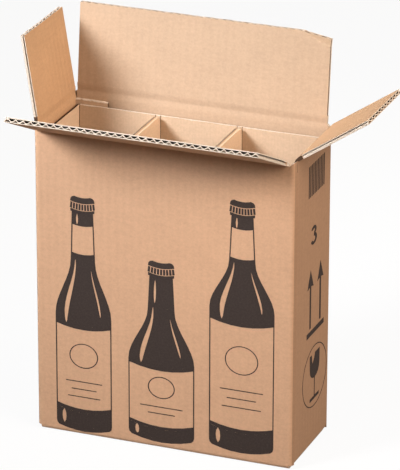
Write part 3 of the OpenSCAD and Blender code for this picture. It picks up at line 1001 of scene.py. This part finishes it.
class CartonPrint(bpy.types.Operator):
    """Lays the plain ink shapes on the front wall and the right wall"""

    bl_idname = "bottle_carton.ink"
    bl_label = "Print"

    # the ink's film, and how deep it starts in the wavy liner
    FILM, SUNK = 0.2 * MM, 0.08 * MM
    # the drawings are in millimetres: thin lines, the side lines of a label, and how much of its
    # half width a level line on a bottle sags
    LINE, SIDE_LINE, SAG = 0.9, 1.1, 0.16
    FULL_TURN = (0, 360)
    # plain bottles, with heights from the foot and half widths: a label leaves the board bare
    # between two heights, and a streak of shine has two heights, its place across the bottle and
    # half its width, as shares of the bottle's half width; oval and rules are on the label
    BOTTLES = (
        {"centre": -83, "base": 8, "foot": (26.5, 28.4), "body": 29, "shoulder": (118, 176),
         "neck": (12.6, 11), "top": 226, "lip": 12.4, "cap": 12, "bare": ((24, 108), (184, 213)),
         "shine": ((5, 20, -0.72, 0.07), (112, 178, -0.62, 0.09), (122, 168, 0.62, 0.04),
                   (214, 225, -0.5, 0.09)),
         "oval": (76, (15, 13)), "rules": ((48, 19), (40, 13), (32, 17))},
        {"centre": -2.3, "base": 11, "foot": (31, 33.2), "body": 34, "shoulder": (80, 134),
         "neck": (13.8, 12), "top": 169, "lip": 13.4, "cap": 11.5, "bare": ((17, 76),),
         "shine": ((4, 14, -0.74, 0.06), (80, 138, -0.62, 0.09), (90, 128, 0.62, 0.04),
                   (142, 166, -0.5, 0.09)),
         "oval": (53, (14, 11.5)), "rules": ((32, 22), (25, 14))},
        {"centre": 80, "base": 14, "foot": (30, 32.2), "body": 33, "shoulder": (144, 194),
         "neck": (13.2, 11), "top": 240, "lip": 12.6, "cap": 12, "bare": ((25, 132), (198, 228)),
         "shine": ((5, 21, -0.72, 0.07), (136, 194, -0.62, 0.09), (146, 186, 0.62, 0.04),
                   (229, 239, -0.5, 0.09)),
         "oval": (92, (17, 15)), "rules": ((60, 22), (51, 15), (42, 20))},
    )

    def strip(self, bm, rows, place):
        """One band of ink through rows of points."""
        across = len(rows[0])
        made = bmesh.ops.create_grid(bm, x_segments=across - 1, y_segments=len(rows) - 1, size=0.5)
        for i, v in enumerate(made["verts"]):
            v.co = place(*rows[i // across][i % across])

    def block(self, bm, place, low, high):
        """A rectangle of ink between two corners."""
        rows = [[(low[0], z), (high[0], z)] for z in (low[1], high[1])]
        self.strip(bm, rows, place)

    def arc(self, bm, place, centre, radii, line, turn, steps):
        """A curved line of ink about a centre, from one angle to another."""
        rows = []
        for i in range(steps + 1):
            a = math.radians(turn[0] + (turn[1] - turn[0]) * i / steps)
            across, up = radii[0] * math.cos(a), radii[1] * math.sin(a)
            shares = (1 - line / radii[1], 1)
            rows.append([(centre[0] + k * across, centre[1] + k * up) for k in shares])
        self.strip(bm, rows, place)

    def film(self, bm, outward, name):
        """Gives the flat ink its thin film."""
        pull(bm, bm.faces[:], outward * self.FILM)
        bmesh.ops.recalc_face_normals(bm, faces=bm.faces)
        piece = make_piece(name, bm, ["flexo_ink"])
        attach(piece, "carton")

    def outline(self, bottle, steps=8):
        """A bottle's half widths from its foot up, with an S-curve from the body to the neck."""
        body, (low, high) = bottle["body"], bottle["shoulder"]
        neck, neck_top = bottle["neck"]
        rows = list(zip((0, 2, 5), (*bottle["foot"], body)))
        for i in range(steps + 1):
            t = i / steps
            rows.append((low + (high - low) * t, body + (neck - body) * (t * t * (3 - 2 * t))))
        top, lip = bottle["top"], bottle["lip"]
        return rows + [(top, neck_top), (top + 0.1, lip), (top + 3, lip)]

    def bottle(self, bm, place, bottle):
        """A bottle in solid ink, as seen a little from above: bare labels between thin side lines,
        bare streaks of shine, and a crown cap."""
        outline, bare, shine = self.outline(bottle), bottle["bare"], bottle["shine"]

        def half(z):
            for (z0, w0), (z1, w1) in zip(outline, outline[1:]):
                if z0 <= z <= z1:
                    return w0 + (w1 - w0) * (z - z0) / (z1 - z0)
            return outline[-1][1]

        def point(u, z, w):
            return bottle["centre"] + u * w, bottle["base"] + z - self.SAG * w * (1 - u * u)

        def fill(spans, columns):
            """Ink between spans of the width, each given with its height and half width."""
            steps = [i / columns for i in range(columns + 1)]
            rows = [[point(a + (b - a) * t, z, w) for t in steps] for a, b, z, w in spans]
            self.strip(bm, rows, place)

        tip, bands, inwards = outline[-1][0], 56, 1e-7
        marks = {z for z, _ in outline} | {z for pair in (*bare, *shine) for z in pair[:2]}
        cuts = sorted(marks | {tip * i / bands for i in range(bands + 1)})
        for z0, z1 in zip(cuts, cuts[1:]):
            if z1 - z0 < HAIR:
                continue
            # read just inside the band, where the outline steps out to the lip
            ends = ((z0, half(z0 + inwards)), (z1, half(z1 - inwards)))
            if any(low <= (z0 + z1) / 2 <= high for low, high in bare):
                for side in (-1, 1):
                    fill([(side, side * (1 - self.SIDE_LINE / w), z, w) for z, w in ends], 1)
                continue
            edges = [[-1.0, 1.0] for _ in ends]
            for low, high, at, wide in shine:
                if low <= (z0 + z1) / 2 <= high:
                    for row, (z, _) in zip(edges, ends):
                        t = max(0.0, grow(z - low, high - low))
                        open_by = wide * math.sin(math.pi * t) ** 0.5
                        row[-1:-1] = [at - open_by, at + open_by]
            for i in range(0, len(edges[0]), 2):
                fill([(row[i], row[i + 1], z, w) for row, (z, w) in zip(edges, ends)], 6)

        # crown cap: a plain dome over a skirt of short flutes
        low, wide, tall = bottle["top"] + 3.8, bottle["lip"] + 1, bottle["cap"]
        teeth, gap = 9, 0.03
        for i in range(teeth):
            a, b = -1 + 2 * i / teeth + gap, -1 + 2 * (i + 1) / teeth - gap
            fill([(a, b, low, wide), (a, b, low + 0.5 * tall, 0.94 * wide)], 1)
        dome = ((0.56, 0.94), (0.8, 0.9), (0.93, 0.8), (1.0, 0.62))
        fill([(-1, 1, low + t * tall, w * wide) for t, w in dome], 6)

    def label(self, bm, place, bottle):
        """A plain empty oval, and below it short rules of different lengths."""
        centre, base = bottle["centre"], bottle["base"]
        middle, radii = bottle["oval"]
        self.arc(bm, place, (centre, base + middle), radii, self.LINE, self.FULL_TURN, 40)
        for z, half in bottle["rules"]:
            low = (centre - half, base + z)
            self.block(bm, place, low, (centre + half, base + z + self.LINE))

    def front(self):
        """Three bottles on the front wall."""
        bm = bmesh.new()

        def place(x, z):
            return (x * MM, -HALF_D + self.SUNK, z * MM)

        for bottle in self.BOTTLES:
            self.bottle(bm, place, bottle)
            self.label(bm, place, bottle)
        self.film(bm, Vector((0, -1, 0)), "front_print")

    def glass(self, bm, place, centre, foot, bowl_foot, tall):
        """A stemmed glass with a chipped rim in an oval line: handle with care."""
        oval, radii, line = (centre, 76), (34, 32), 1.0
        self.arc(bm, place, oval, radii, line, self.FULL_TURN, 72)

        def rows(spans):
            return [[(centre + a, bowl_foot + tall * t), (centre + b, bowl_foot + tall * t)]
                    for t, a, b in spans]

        bowl = ((0.0, 1.5), (0.04, 5.5), (0.12, 9.5), (0.25, 12.2), (0.45, 13.4), (0.62, 13.6))
        self.strip(bm, rows([(t, -w, w) for t, w in bowl]), place)
        self.strip(bm, rows([(0.62, -13.6, -6.0), (0.8, -13.7, -7.5), (1.0, -13.8, -8.5)]), place)
        self.strip(bm, rows([(0.62, -6.0, 13.6), (0.8, -1.5, 13.7), (1.0, 1.0, 13.8)]), place)
        foot_top, foot_half, stem_half = foot + 2.5, 12.5, 1.0
        stem = (centre + stem_half, bowl_foot + 1)
        self.block(bm, place, (centre - stem_half, foot_top), stem)
        self.block(bm, place, (centre - foot_half, foot), (centre + foot_half, foot + 3.3))

    def side(self):
        """Bars, the number of bottles, two arrows and a glass on the right wall."""
        bm = bmesh.new()

        def place(y, z):
            return (HALF_W - self.SUNK, y * MM, z * MM)

        # evenly spaced bars that spell nothing
        bars, first, pitch, wide, low, high = 11, -15, 4.1, 2.5, 266, 298
        for i in range(bars):
            self.block(bm, place, (first + pitch * i, low), (first + wide + pitch * i, high))
        # the number of bottles, in two arcs that are drawn wide
        centre, stretch, line = 1, 1.5, 3.0
        for height, radius, turn in ((229.2, 4.6, (-80, 165)), (220.4, 5.6, (-165, 88))):
            self.arc(bm, place, (centre, height), (stretch * radius, radius), line, turn, 24)
        # two arrows that stand on a bar: this side up
        head, shaft, foot, neck, tip = 8.5, 2, 130, 174, 190.6
        for y in (-6.5, 21):
            barbs = [(y - head, neck - 2), (y, neck), (y + head, neck - 2)]
            point = [(y - 0.1, tip - 0.1), (y, tip), (y + 0.1, tip - 0.1)]
            self.strip(bm, [barbs, point], place)
            self.block(bm, place, (y - shaft, foot), (y + shaft, neck))
        self.block(bm, place, (-16, 121.8), (32, 127))
        self.glass(bm, place, centre=8, foot=51.5, bowl_foot=74, tall=26)
        self.film(bm, Vector((1, 0, 0)), "side_print")

    def execute(self, context):
        self.front()
        self.side()
        return {"FINISHED"}


class CartonPanel(bpy.types.Panel):
    """Lists the carton's sizes, colours and builders"""

    bl_idname = "VIEW3D_PT_bottle_carton"
    bl_label = "Bottle Carton"
    bl_space_type = "VIEW_3D"
    bl_region_type = "UI"
    bl_category = "Carton"

    def draw(self, context):
        for group in (context.scene.carton_sizes, context.scene.carton_colours):
            column = self.layout.column()
            for name in group.bl_rna.properties.keys():
                if name not in ("rna_type", "name"):
                    column.prop(group, name)
        for operator in OPERATORS:
            self.layout.operator(operator.bl_idname)


OPERATORS = (CartonStage, CartonWalls, CartonFlaps, CartonFolds, BottleInsert, CartonPrint)
CLASSES = (BoardSizes, PaperColours) + OPERATORS + (CartonPanel,)


def register():
    for cls in CLASSES:
        bpy.utils.register_class(cls)
    bpy.types.Scene.carton_sizes = PointerProperty(type=BoardSizes)
    bpy.types.Scene.carton_colours = PointerProperty(type=PaperColours)


def unregister():
    del bpy.types.Scene.carton_colours
    del bpy.types.Scene.carton_sizes
    for cls in reversed(CLASSES):
        bpy.utils.unregister_class(cls)


def main():
    register()
    for name in ("stage", "walls", "flaps", "folds", "insert", "ink"):
        if getattr(bpy.ops.bottle_carton, name)() != {"FINISHED"}:
            raise RuntimeError(f"the {name} step did not finish")


if __name__ == "__main__":
    main()
